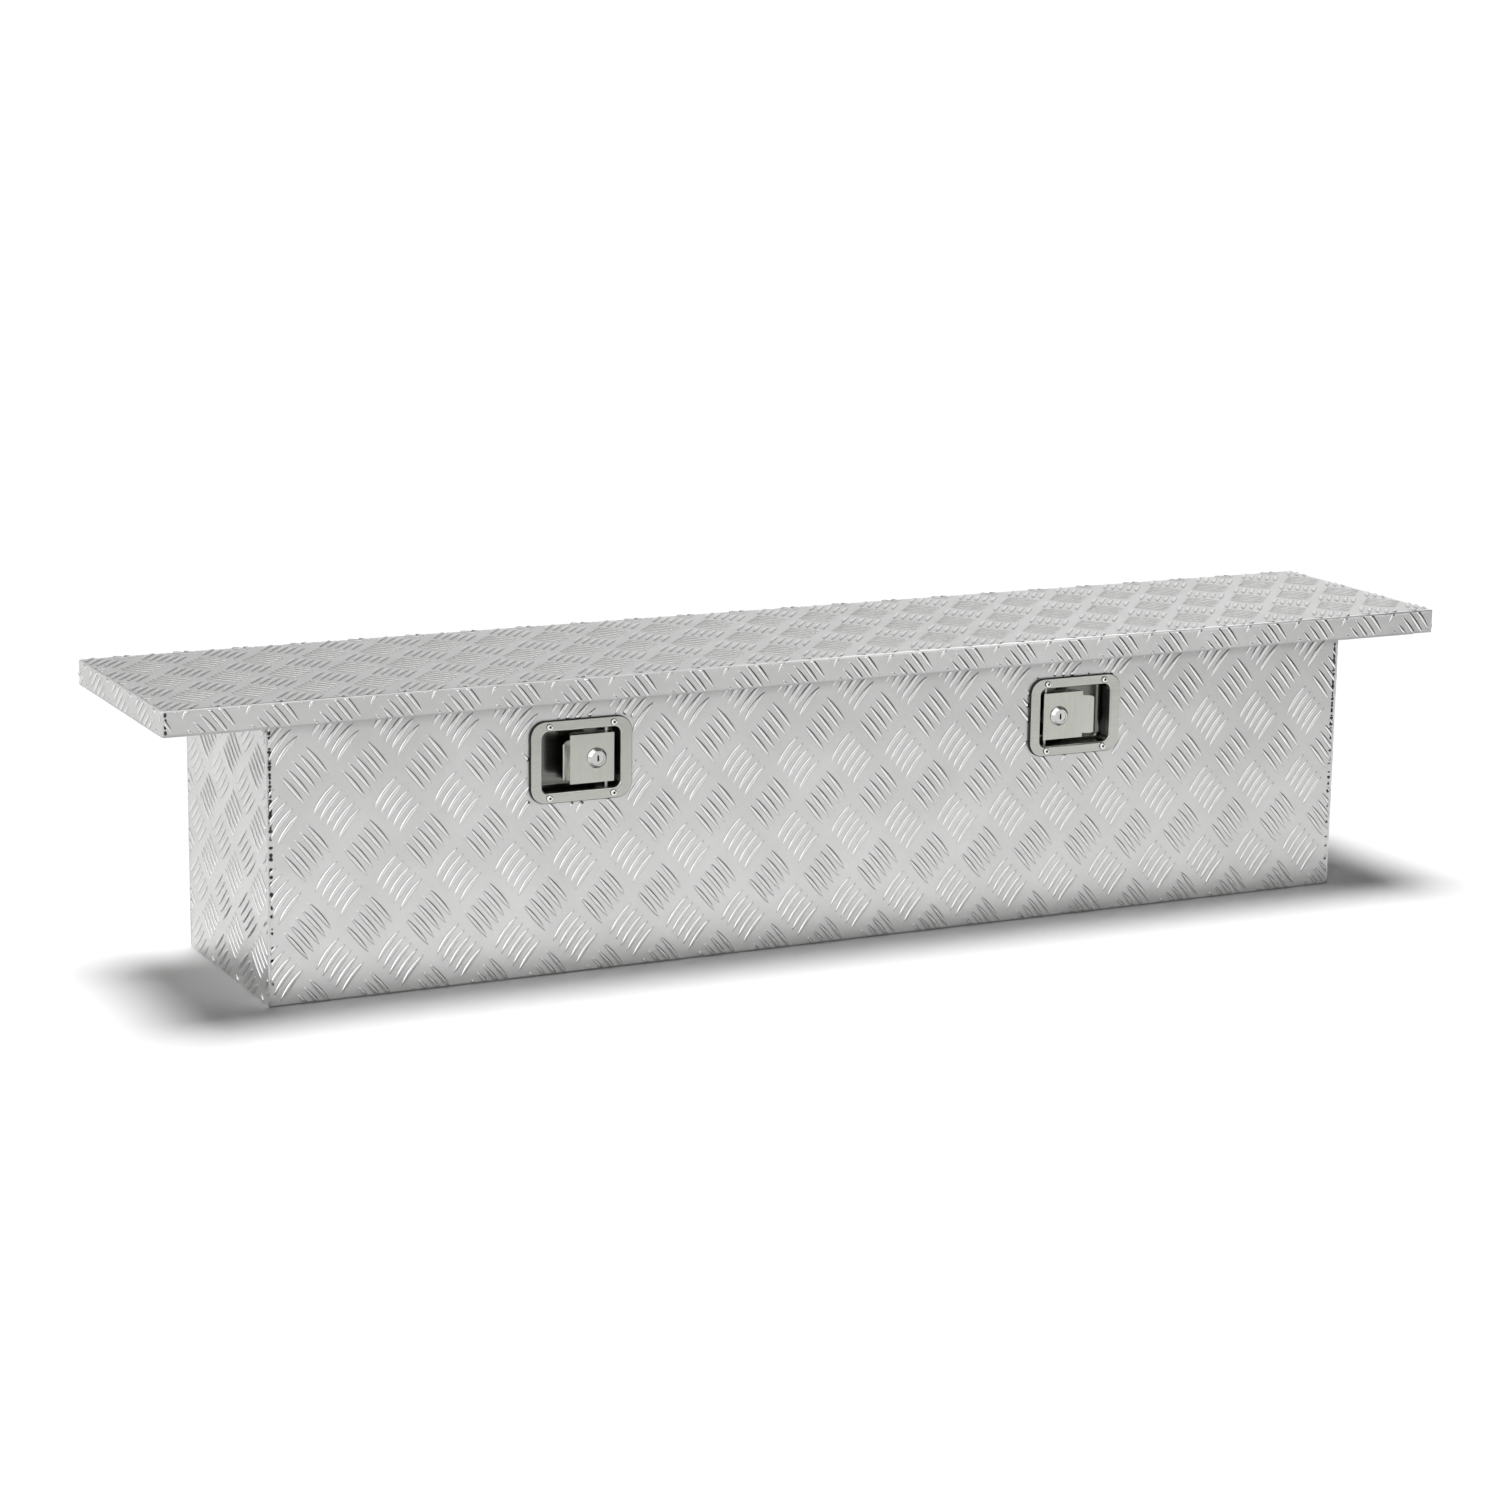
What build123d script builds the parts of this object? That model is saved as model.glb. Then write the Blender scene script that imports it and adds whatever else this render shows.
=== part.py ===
"""Low profile crossover truck tool box: one long lid, two recessed paddle latches, gas struts.

Origin: centre of the lid's footprint at floor level. +X runs along the box, the front faces -Y,
+Z is up. Millimetres.
"""

from build123d import *
from math import hypot
import os

# ---------------------------------------------------------------- driving dimensions
lid_length = 1778.0
lid_width = 340.0
overall_height = 376.0
lid_skirt = 31.0
sheet = 1.6
lid_corner = 2.5

body_length = 1511.0
body_front = -141.8
body_back = 162.5
body_bend = 3.2
rim_height = 366.0
wing_height = 338.0
wing_reach = 881.0
front_flange = 20.0
rim_flange = 16.0

seal_width = 8.0
seal_inset = 5.0
seal_crown = 3.2
gap = 0.3

hinge_y = 165.9
hinge_z = 341.0
hinge_length = 1500.0
hinge_knuckles = 25
knuckle_radius = 3.0
hinge_pin_radius = 1.5
leaf_thickness = 1.2
leaf_height = 24.0
rivet_radius = 2.0
rivet_head_radius = 4.0
rivet_head = 1.2
rivet_count = 12
running_clearance = 0.05

latch_spacing = 699.0
latch_shift = -5.0
latch_height = 268.6

out_dir = "parts"
os.makedirs(out_dir, exist_ok=True)

# ---------------------------------------------------------------- worked-out places
half_body = body_length / 2
half_lid = lid_length / 2
body_depth = body_back - body_front
body_mid_y = (body_front + body_back) / 2
lid_underside = overall_height - sheet
skirt_bottom = overall_height - lid_skirt
body_inner_front = body_front + sheet
body_inner_back = body_back - sheet
end_inner = half_body - sheet
latch_x = latch_shift - latch_spacing / 2


def save(part, name):
    """Label one piece and write its STEP file."""
    part.label = name
    export_step(part, os.path.join(out_dir, name + ".step"))


def block(x_range, y_range, z_range, mode=Mode.ADD):
    """Add or cut a box given by its limits along X, Y and Z, inside the open part."""
    limits = (x_range, y_range, z_range)
    middle = [(low + high) / 2 for low, high in limits]
    size = [high - low for low, high in limits]
    with Locations(tuple(middle)):
        Box(*size, mode=mode)


def rod_x(radius, x_range, y, z, mode=Mode.ADD):
    """Add or cut a round bar along X, inside the open part."""
    low, high = x_range
    with Locations(Location(((low + high) / 2, y, z), (0, 90, 0))):
        Cylinder(radius, high - low, mode=mode)


def rod_y(radius, y_range, x, z, mode=Mode.ADD):
    """Add or cut a round bar along Y, inside the open part."""
    low, high = y_range
    with Locations(Location((x, (low + high) / 2, z), (90, 0, 0))):
        Cylinder(radius, high - low, mode=mode)


def save_pair(left_pieces, mirror_x):
    """Save left-hand pieces and their mirror images about the plane X = mirror_x."""
    for name, part in left_pieces.items():
        save(part, name + "_left")
        with BuildPart() as other:
            mirror(part, about=Plane.YZ.offset(mirror_x))
        save(other.part, name + "_right")


# ---------------------------------------------------------------- latch sizes
# Latch pieces are laid out by u, the distance from the latch centre toward its lock side.
flange_size = (133.5, 101.0)
flange_corner = 19.0
gasket_margin = 1.0
gasket_thickness = 3.0
dish_sheet = 1.5
mouth_size = (104.0, 76.0)
mouth_corner = 9.0
dish_depth = 27.0
dish_floor_bend = 6.0
mouth_roll = 2.4
latch_cut_margin = 0.75
screw_reach = (42.5, 44.3)
screw_radius = 2.5
screw_hole = screw_radius + running_clearance
screw_socket = 1.9
socket_depth = 2.0
screw_dome = 1.7
screw_head_radius = 4.0
screw_head = 2.4
nut_across = 8.0
nut_thickness = 4.0

paddle_sheet = 2.0
paddle_free_edge = -13.4
paddle_hinge_edge = 45.0
paddle_half_height = 30.5
paddle_side_depth = 16.0
paddle_side_start = -11.0
paddle_corner = 11.0
lip_length = 11.7
lip_rise = 9.0
lip_half_height = 25.0
lip_corner = 7.0
lip_back_shift = (0.7, 1.2, 1.6)
pivot_u = 38.0
pivot_depth = 8.8
pivot_radius = 2.0
tail_half_width = 3.0
tail_length = 24.0
tail_z = (28.5, 30.5)
tail_slot_margin = 1.5

lock_u = 22.0
bezel_radius = 12.8
bezel_rise = 5.0
bezel_chamfer = 3.6
plug_recess = 0.8
barrel_radius = 11.0
barrel_depth = 15.0
plug_radius = 7.5
lock_nut_radius = 12.5
lock_nut_thickness = 3.0
keyway = (2.4, 7.5, 12.0)
cam_length = 22.0
cam_half_width = 5.0
cam_thickness = 2.0
keeper_u = (-8.0, 2.0)
keeper_half_width = 7.0

tail_window = (7.0, 9.0)
carrier_y = (-117.4, -114.9)
carrier_u = (-20.0, 55.0)
carrier_z = (11.0, 34.0)
bolt_y = (-114.5, -106.5)
bolt_u = (-5.0, 74.0)
bolt_z = (15.0, 25.0)
bolt_nose = 7.0
bolt_throw = 12.0
bolt_pull = 17.0
drive_pin_u = 10.0
drive_pin_radius = 2.0
guide_u = (30.0, 60.0)
guide_z = (8.0, 38.0)
guide_y = (-117.8, -104.6)
striker_u = (76.0, 79.0)
striker_y = (-119.0, -99.0)
striker_window_margin = (1.5, 2.0)
striker_foot = 22.0
striker_below_window = 6.0

spring_wire = 0.6
return_spring_radius = 3.0
return_spring_half = 9.0
return_spring_turns = 6
bolt_spring_radius = 3.2
bolt_spring_turns = 5

flange_back = body_front - gasket_thickness
flange_front = flange_back - dish_sheet
floor_front = flange_front + dish_depth
floor_back = floor_front + dish_sheet
pivot_y = body_front + pivot_depth


def coil(radius, turns, length):
    """A spring of round wire that climbs from the origin along +Z."""
    with BuildPart() as spring:
        with BuildLine() as path:
            Helix(length / turns, length, radius)
        with BuildSketch(Plane(path.wire() @ 0, z_dir=path.wire() % 0)):
            Circle(spring_wire)
        sweep(path=path.wire(), is_frenet=True)
    return spring.part


def latch_u(u_range):
    """Turn a range of u into a range of X on the left-hand latch."""
    return (latch_x + u_range[0], latch_x + u_range[1])


def latch_z(z_range):
    """Turn heights about the latch centre into heights above the floor."""
    return (latch_height + z_range[0], latch_height + z_range[1])


def latch_plane(y):
    """Plane across the left-hand latch at depth y, with its normal toward the front."""
    return Plane((latch_x, y, latch_height), x_dir=(1, 0, 0), z_dir=(0, -1, 0))


# ---------------------------------------------------------------- body
with BuildPart() as body_wrap:
    with BuildSketch(Plane.YZ):
        with Locations((body_mid_y, rim_height / 2)):
            Rectangle(body_depth, rim_height)
        bottom_corners = vertices().group_by(Axis.Y)[0]
        fillet(bottom_corners, body_bend)
    extrude(amount=half_body, both=True)
    with BuildSketch(Plane.YZ):
        with Locations((body_mid_y, (sheet + rim_height) / 2)):
            Rectangle(body_depth - 2 * sheet, rim_height - sheet)
        bottom_corners = vertices().group_by(Axis.Y)[0]
        fillet(bottom_corners, body_bend - sheet)
    extrude(amount=half_body, both=True, mode=Mode.SUBTRACT)
    for side in (-1, 1):
        ear_x = sorted((side * half_body, side * wing_reach))
        block(ear_x, (body_front, body_inner_front), (wing_height, rim_height))
        block(ear_x, (body_inner_back, body_back), (wing_height, rim_height))
    ear_feet = edges().filter_by(Axis.Y).filter_by_position(Axis.Z, wing_height, wing_height)
    by_side = ear_feet.group_by(Axis.X)
    fillet(by_side[0] + by_side[-1], body_bend)
    wide = (-wing_reach, wing_reach)
    flange_z = (rim_height - sheet, rim_height)
    block(wide, (body_front - front_flange, body_inner_front), flange_z)
    block(wide, (body_back - rim_flange, body_back), flange_z)
    with BuildSketch(Plane.XZ.offset(-body_front)):
        with Locations((latch_x, latch_height), (latch_shift * 2 - latch_x, latch_height)):
            cut = 2 * (dish_sheet + latch_cut_margin)
            RectangleRounded(mouth_size[0] + cut, mouth_size[1] + cut, mouth_corner + cut / 2)
    extrude(amount=-2 * sheet, mode=Mode.SUBTRACT)
    through_y = (body_front - sheet, body_inner_front + sheet)
    for centre in (latch_x, latch_shift * 2 - latch_x):
        for across in (-screw_reach[0], screw_reach[0]):
            for up in (-screw_reach[1], screw_reach[1]):
                rod_y(screw_hole, through_y, centre + across, latch_height + up, Mode.SUBTRACT)
save(body_wrap.part, "body_wrap")

# The end panel rises from the floor, folds out into the wing's floor, up its end and in at the rim.
with BuildPart() as end_panel:
    with BuildSketch(Plane.XZ.offset(-body_inner_back)):
        with BuildLine():
            wing_top = wing_height + sheet
            wing_inner = -wing_reach + sheet
            rim_low = rim_height - sheet
            Polyline(
                (-half_body, sheet),
                (-end_inner, sheet),
                (-end_inner, wing_top),
                (wing_inner, wing_top),
                (wing_inner, rim_low),
                (-wing_reach, rim_low),
                (-wing_reach, wing_height),
                (-half_body, wing_height),
                close=True,
            )
        make_face()
        outer_bends = ((-end_inner, wing_top), (-wing_reach, wing_height))
        inner_bends = ((wing_inner, wing_top), (-half_body, wing_height))
        for bends, radius in ((outer_bends, body_bend), (inner_bends, body_bend - sheet)):
            for x, z in bends:
                fillet(vertices().sort_by_distance((x, z))[0], radius)
    extrude(amount=body_inner_back - body_inner_front)
    fillet(edges().filter_by(Axis.X).group_by(Axis.Z)[0], body_bend)
    rim_y = (body_inner_front, body_back - rim_flange)
    block((-wing_reach, -wing_reach + rim_flange), rim_y, flange_z)
save_pair({"end_panel": end_panel.part}, 0)

# Four straight strips of sponge seal with butted ends.
with BuildPart() as rim_seal:
    seal_front = body_front - front_flange + seal_inset
    seal_back = body_back - seal_inset
    seal_reach = wing_reach - seal_inset
    seal_z = (rim_height, lid_underside - gap)
    block((-seal_reach, seal_reach), (seal_front, seal_front + seal_width), seal_z)
    block((-seal_reach, seal_reach), (seal_back - seal_width, seal_back), seal_z)
    between = (seal_front + seal_width + gap, seal_back - seal_width - gap)
    block((-seal_reach, -seal_reach + seal_width), between, seal_z)
    block((seal_reach - seal_width, seal_reach), between, seal_z)
    fillet(edges().group_by(Axis.Z)[-1], seal_crown)
save(rim_seal.part, "rim_seal")

# ---------------------------------------------------------------- lid
with BuildPart() as lid_skin:
    with BuildSketch(Plane.XY.offset(skirt_bottom)):
        RectangleRounded(lid_length, lid_width, lid_corner)
    extrude(amount=lid_skirt)
    fillet(edges().group_by(Axis.Z)[-1], lid_corner - gap)
    block(
        (-half_lid + sheet, half_lid - sheet),
        (-lid_width / 2 + sheet, lid_width / 2 - sheet),
        (skirt_bottom, lid_underside),
        Mode.SUBTRACT,
    )
    rivet_pitch = hinge_length / rivet_count
    rivet_x = [rivet_pitch * (n + 0.5) - hinge_length / 2 for n in range(rivet_count)]
    lid_rivet_z = skirt_bottom + leaf_height / 2
    back_skirt = (lid_width / 2 - 2 * sheet, lid_width / 2)
    for x in rivet_x:
        rod_y(rivet_radius, back_skirt, x, lid_rivet_z, Mode.SUBTRACT)
save(lid_skin.part, "lid_skin")

# Hat channel bonded under the lid, open side up.
stiffener_half_length = 820.0
stiffener_y = 10.0
stiffener_web = 30.0
stiffener_foot = 22.0
stiffener_depth = 16.0
stiffener_sheet = 1.2
with BuildPart() as lid_stiffener:
    along = (-stiffener_half_length, stiffener_half_length)
    web_z = lid_underside - stiffener_depth
    web_low, web_high = stiffener_y - stiffener_web, stiffener_y + stiffener_web
    block(along, (web_low, web_high), (web_z, lid_underside))
    inner_y = (web_low + stiffener_sheet, web_high - stiffener_sheet)
    block(along, inner_y, (web_z + stiffener_sheet, lid_underside), Mode.SUBTRACT)
    foot_z = (lid_underside - stiffener_sheet, lid_underside)
    block(along, (web_low - stiffener_foot, web_low), foot_z)
    block(along, (web_high, web_high + stiffener_foot), foot_z)
save(lid_stiffener.part, "lid_stiffener")

# ---------------------------------------------------------------- piano hinge
knuckle_pitch = hinge_length / hinge_knuckles


def knuckle_spans(first):
    """X limits of every second knuckle, starting with knuckle number first."""
    spans = []
    for n in range(first, hinge_knuckles, 2):
        start = n * knuckle_pitch - hinge_length / 2
        spans.append((start + gap, start + knuckle_pitch - gap))
    return spans


half_hinge = (-hinge_length / 2, hinge_length / 2)
bore_radius = hinge_pin_radius + running_clearance
relief = knuckle_radius + 2 * gap

with BuildPart() as hinge_body_leaf:
    leaf_y = (body_back, body_back + leaf_thickness)
    leaf_z = (hinge_z - relief - leaf_height, hinge_z - relief)
    block(half_hinge, leaf_y, leaf_z)
    for span in knuckle_spans(0):
        block(span, leaf_y, (leaf_z[1], hinge_z))
        rod_x(knuckle_radius, span, hinge_y, hinge_z)
        rod_x(hinge_pin_radius, span, hinge_y, hinge_z, Mode.SUBTRACT)
    body_rivet_z = leaf_z[0] + leaf_height / 2
    for x in rivet_x:
        rod_y(rivet_radius, leaf_y, x, body_rivet_z, Mode.SUBTRACT)
save(hinge_body_leaf.part, "hinge_body_leaf")

with BuildPart() as hinge_lid_leaf:
    skirt_inner = lid_width / 2 - sheet
    lid_leaf_y = (skirt_inner - leaf_thickness, skirt_inner)
    lid_leaf_z = (hinge_z + relief, skirt_bottom + leaf_height)
    block(half_hinge, lid_leaf_y, lid_leaf_z)
    for span in knuckle_spans(1):
        block(span, lid_leaf_y, (hinge_z, lid_leaf_z[0]))
        rod_x(knuckle_radius, span, hinge_y, hinge_z)
        rod_x(bore_radius, span, hinge_y, hinge_z, Mode.SUBTRACT)
    for x in rivet_x:
        rod_y(rivet_radius, lid_leaf_y, x, lid_rivet_z, Mode.SUBTRACT)
save(hinge_lid_leaf.part, "hinge_lid_leaf")

with BuildPart() as hinge_pin:
    rod_x(hinge_pin_radius, half_hinge, hinge_y, hinge_z)
save(hinge_pin.part, "hinge_pin")

with BuildPart() as hinge_rivets_lid:
    for x in rivet_x:
        rod_y(rivet_radius, (lid_leaf_y[0], lid_width / 2), x, lid_rivet_z)
        rod_y(rivet_head_radius, (lid_leaf_y[0] - rivet_head, lid_leaf_y[0]), x, lid_rivet_z)
save(hinge_rivets_lid.part, "hinge_rivets_lid")

# The wall has no matching holes in its sheet: each rivet ends flush on it, welded from behind.
with BuildPart() as hinge_rivets_body:
    for x in rivet_x:
        rod_y(rivet_radius, leaf_y, x, body_rivet_z)
        rod_y(rivet_head_radius, (leaf_y[1], leaf_y[1] + rivet_head), x, body_rivet_z)
save(hinge_rivets_body.part, "hinge_rivets_body")

# ---------------------------------------------------------------- gas struts
strut_x = -735.0
strut_foot = (-100.0, 235.0)
strut_head = (hinge_y - 50.0, hinge_z + 9.0)
strut_pin_radius = 4.0
eye_radius = 8.0
eye_half_width = 5.0
shank_length = 16.0
shank_radius = 5.0
collar_radius = 6.0
collar_thickness = 2.5
tube_radius = 7.5
tube_bore = 6.2
tube_end = 176.0
tube_cap = 8.0
strut_rod_radius = 3.0
rod_inner_end = 60.0
foot_plate = (40.0, 46.0, 2.0)
head_plate_y = (92.0, 126.0)
head_plate_low = 344.0
head_plate_x = (-749.5, -747.0)
head_plate_foot = -775.0

strut_run = strut_head[0] - strut_foot[0]
strut_climb = strut_head[1] - strut_foot[1]
strut_length = hypot(strut_run, strut_climb)
strut_along = Vector(0, strut_run, strut_climb).normalized()
strut_base = Vector(strut_x, *strut_foot)
eye_x = (strut_x - eye_half_width, strut_x + eye_half_width)
pin_bore = strut_pin_radius + running_clearance


def strut_plane(distance):
    """Plane square to the strut, at this distance from its lower pivot."""
    return Plane(strut_base + strut_along * distance, x_dir=(1, 0, 0), z_dir=strut_along)


with BuildPart() as strut_foot_bracket:
    half_y, half_z, thick = foot_plate[0] / 2, foot_plate[1] / 2, foot_plate[2]
    foot_y, foot_z_mid = strut_foot
    plate_x = (-end_inner, -end_inner + thick)
    block(plate_x, (foot_y - half_y, foot_y + half_y), (foot_z_mid - half_z, foot_z_mid + half_z))
    rod_x(collar_radius, (plate_x[1], eye_x[0] - gap), foot_y, foot_z_mid)
    rod_x(strut_pin_radius, (plate_x[1], eye_x[1] + gap), foot_y, foot_z_mid)
    rod_x(collar_radius, (eye_x[1] + gap, eye_x[1] + collar_thickness), foot_y, foot_z_mid)

with BuildPart() as strut_tube_end:
    rod_x(eye_radius, eye_x, *strut_foot)
    with BuildSketch(strut_plane(0)):
        Circle(shank_radius)
    extrude(amount=shank_length)
    rod_x(pin_bore, eye_x, *strut_foot, Mode.SUBTRACT)

with BuildPart() as strut_tube:
    with BuildSketch(strut_plane(shank_length)):
        Circle(tube_radius)
    extrude(amount=tube_end - shank_length)
    with BuildSketch(strut_plane(shank_length + tube_cap)):
        Circle(tube_bore)
    extrude(amount=tube_end - shank_length - 2 * tube_cap, mode=Mode.SUBTRACT)
    with BuildSketch(strut_plane(tube_end - 2 * tube_cap)):
        Circle(strut_rod_radius + running_clearance)
    extrude(amount=3 * tube_cap, mode=Mode.SUBTRACT)

with BuildPart() as strut_rod:
    with BuildSketch(strut_plane(rod_inner_end)):
        Circle(strut_rod_radius)
    extrude(amount=strut_length - shank_length - rod_inner_end)
    with BuildSketch(strut_plane(rod_inner_end)):
        Circle(tube_bore - running_clearance)
    extrude(amount=tube_cap / 2)

with BuildPart() as strut_rod_end:
    rod_x(eye_radius, eye_x, *strut_head)
    with BuildSketch(strut_plane(strut_length - shank_length)):
        Circle(shank_radius)
    extrude(amount=shank_length)
    rod_x(pin_bore, eye_x, *strut_head, Mode.SUBTRACT)

with BuildPart() as strut_stud:
    rod_x(strut_pin_radius, eye_x, *strut_head)
    rod_x(collar_radius, (eye_x[1], eye_x[1] + collar_thickness), *strut_head)
    rod_x(collar_radius, (head_plate_x[1] + 2 * gap, eye_x[0]), *strut_head)

with BuildPart() as strut_head_bracket:
    block(head_plate_x, head_plate_y, (head_plate_low, lid_underside))
    flap_z = (lid_underside - sheet, lid_underside)
    block((head_plate_foot, head_plate_x[0]), head_plate_y, flap_z)

save_pair(
    {
        "strut_foot_bracket": strut_foot_bracket.part,
        "strut_tube_end": strut_tube_end.part,
        "strut_tube": strut_tube.part,
        "strut_rod": strut_rod.part,
        "strut_rod_end": strut_rod_end.part,
        "strut_stud": strut_stud.part,
        "strut_head_bracket": strut_head_bracket.part,
    },
    0,
)

# ---------------------------------------------------------------- latches
with BuildPart() as latch_gasket:
    with BuildSketch(latch_plane(body_front)):
        outer = [size + 2 * gasket_margin for size in flange_size]
        RectangleRounded(*outer, flange_corner + gasket_margin)
        inner = [size + 2 * (dish_sheet + latch_cut_margin) for size in mouth_size]
        RectangleRounded(*inner, mouth_corner + dish_sheet, mode=Mode.SUBTRACT)
        with GridLocations(2 * screw_reach[0], 2 * screw_reach[1], 2, 2):
            Circle(screw_hole, mode=Mode.SUBTRACT)
    extrude(amount=gasket_thickness)

with BuildPart() as dish_hollow:
    with BuildSketch(latch_plane(floor_front)):
        RectangleRounded(*mouth_size, mouth_corner)
    extrude(amount=dish_depth)
    fillet(edges().group_by(Axis.Y)[-1], dish_floor_bend)

dish_size = [size + 2 * dish_sheet for size in mouth_size]


def is_mouth(edge):
    """Whether an edge lies along the mouth of the left-hand dish."""
    middle = edge.center()
    across, up = abs(middle.X - latch_x), abs(middle.Z - latch_height)
    inside = across <= mouth_size[0] / 2 + gap and up <= mouth_size[1] / 2 + gap
    return inside and edge.length > 2 * screw_head_radius


with BuildPart() as latch_dish:
    with BuildSketch(latch_plane(floor_back)):
        RectangleRounded(*dish_size, mouth_corner + dish_sheet)
    extrude(amount=floor_back - flange_front)
    fillet(edges().group_by(Axis.Y)[-1], dish_floor_bend + dish_sheet)
    with BuildSketch(latch_plane(flange_back)):
        RectangleRounded(*flange_size, flange_corner)
    extrude(amount=dish_sheet)
    with BuildSketch(latch_plane(flange_back)):
        with GridLocations(2 * screw_reach[0], 2 * screw_reach[1], 2, 2):
            Circle(screw_hole)
    extrude(amount=dish_sheet, mode=Mode.SUBTRACT)
    add(dish_hollow.part, mode=Mode.SUBTRACT)
    fillet(edges().group_by(Axis.Y)[0].filter_by(is_mouth), mouth_roll)
    slot_u = (pivot_u - tail_length, pivot_u + 2 * tail_half_width)
    slot_z = (tail_z[0] - tail_slot_margin, tail_z[1] + tail_slot_margin)
    block(latch_u(slot_u), (floor_front - 1, floor_back + 1), latch_z(slot_z), Mode.SUBTRACT)
    pin_span = mouth_size[1] / 2 + 2 * dish_sheet
    with Locations((latch_x + pivot_u, pivot_y, latch_height)):
        Cylinder(pivot_radius, 2 * pin_span, mode=Mode.SUBTRACT)
    keeper_z = latch_z((-keeper_half_width, keeper_half_width))
    post_u = (keeper_u[0], keeper_u[0] + dish_sheet)
    keeper_top = body_front + barrel_depth - dish_sheet
    block(latch_u(post_u), (keeper_top, floor_front), keeper_z)
    block(latch_u(keeper_u), (keeper_top, keeper_top + dish_sheet), keeper_z)

with BuildPart() as latch_screws:
    with BuildSketch(latch_plane(flange_front)):
        with GridLocations(2 * screw_reach[0], 2 * screw_reach[1], 2, 2):
            Circle(screw_head_radius)
    extrude(amount=screw_head)
    fillet(edges().group_by(Axis.Y)[0], screw_dome)
    with BuildSketch(latch_plane(body_inner_front + nut_thickness)):
        with GridLocations(2 * screw_reach[0], 2 * screw_reach[1], 2, 2):
            Circle(screw_radius)
    extrude(amount=body_inner_front + nut_thickness - flange_front)
    with BuildSketch(latch_plane(flange_front - screw_head)):
        with GridLocations(2 * screw_reach[0], 2 * screw_reach[1], 2, 2):
            RegularPolygon(screw_socket, 6)
    extrude(amount=-socket_depth, mode=Mode.SUBTRACT)

with BuildPart() as latch_nuts:
    with BuildSketch(latch_plane(body_inner_front + nut_thickness)):
        with GridLocations(2 * screw_reach[0], 2 * screw_reach[1], 2, 2):
            RegularPolygon(nut_across / 2, 6, major_radius=False)
            Circle(screw_radius, mode=Mode.SUBTRACT)
    extrude(amount=nut_thickness)

paddle_back = body_front + paddle_sheet
lip_tip = paddle_free_edge - lip_length
with BuildPart() as latch_paddle:
    # main plate and its flared lip, as one bent strip
    with BuildSketch(Plane.XY.offset(latch_height - paddle_half_height)):
        with BuildLine():
            start = (latch_x + lip_tip, body_front - lip_rise)
            bend = (latch_x + paddle_free_edge, body_front)
            end = (latch_x + paddle_hinge_edge, body_front)
            Polyline(
                start,
                bend,
                end,
                (end[0], paddle_back),
                (bend[0] - lip_back_shift[0], paddle_back),
                (start[0] - lip_back_shift[1], start[1] + lip_back_shift[2]),
                close=True,
            )
        make_face()
    extrude(amount=2 * paddle_half_height)
    # the lip is lower than the plate, with rounded outer corners
    with BuildSketch(latch_plane(paddle_back)):
        lip_reach = (lip_tip - 2 * paddle_sheet, paddle_free_edge)
        with Locations((sum(lip_reach) / 2, 0)):
            Rectangle(lip_reach[1] - lip_reach[0], 2 * paddle_half_height)
        with Locations((lip_tip + lip_length / 2 + lip_corner, 0)):
            lip_size = (lip_length + 2 * paddle_sheet + 2 * lip_corner, 2 * lip_half_height)
            RectangleRounded(*lip_size, lip_corner, mode=Mode.SUBTRACT)
    extrude(amount=2 * lip_rise, mode=Mode.SUBTRACT)
    # side flanges with a round corner beside the pivot
    side_mid = (paddle_side_start + paddle_hinge_edge) / 2
    with BuildSketch(Plane.XY.offset(latch_height - paddle_half_height)):
        with Locations((latch_x + side_mid, body_front + paddle_side_depth / 2)):
            Rectangle(paddle_hinge_edge - paddle_side_start, paddle_side_depth)
        fillet(vertices().group_by(Axis.Y)[-1], paddle_corner)
    extrude(amount=2 * paddle_half_height)
    inner_z = paddle_half_height - paddle_sheet
    hollow_u = (paddle_side_start - 1, paddle_hinge_edge + 1)
    hollow_y = (paddle_back, body_front + paddle_side_depth + 1)
    block(latch_u(hollow_u), hollow_y, latch_z((-inner_z, inner_z)), Mode.SUBTRACT)
    # tail that reaches back through the dish to the bolt carrier
    tail_u = (pivot_u - tail_half_width, pivot_u + tail_half_width)
    tail_y = (pivot_y, pivot_y + tail_length)
    block(latch_u(tail_u), tail_y, latch_z(tail_z))
    with Locations((latch_x + pivot_u, pivot_y, latch_height)):
        Cylinder(pivot_radius + running_clearance, 2 * pin_span, mode=Mode.SUBTRACT)
    barrel_hole = barrel_radius + running_clearance
    through = (body_front - 1, paddle_back + 1)
    rod_y(barrel_hole, through, latch_x + lock_u, latch_height, Mode.SUBTRACT)

with BuildPart() as latch_pivot:
    with Locations((latch_x + pivot_u, pivot_y, latch_height)):
        Cylinder(pivot_radius, 2 * pin_span)

with BuildPart() as latch_return_spring:
    with Locations((latch_x + pivot_u, pivot_y, latch_height - return_spring_half)):
        add(coil(return_spring_radius, return_spring_turns, 2 * return_spring_half))

lock_x = latch_x + lock_u
barrel_back = body_front + barrel_depth
with BuildPart() as lock_barrel:
    with BuildSketch(latch_plane(body_front)):
        with Locations((lock_u, 0)):
            Circle(bezel_radius)
    extrude(amount=bezel_rise)
    chamfer(edges().group_by(Axis.Y)[0], bezel_chamfer)
    rod_y(barrel_radius, (body_front, barrel_back), lock_x, latch_height)
    bore = (body_front - bezel_rise - 1, barrel_back + 1)
    rod_y(plug_radius + running_clearance, bore, lock_x, latch_height, Mode.SUBTRACT)

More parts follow.
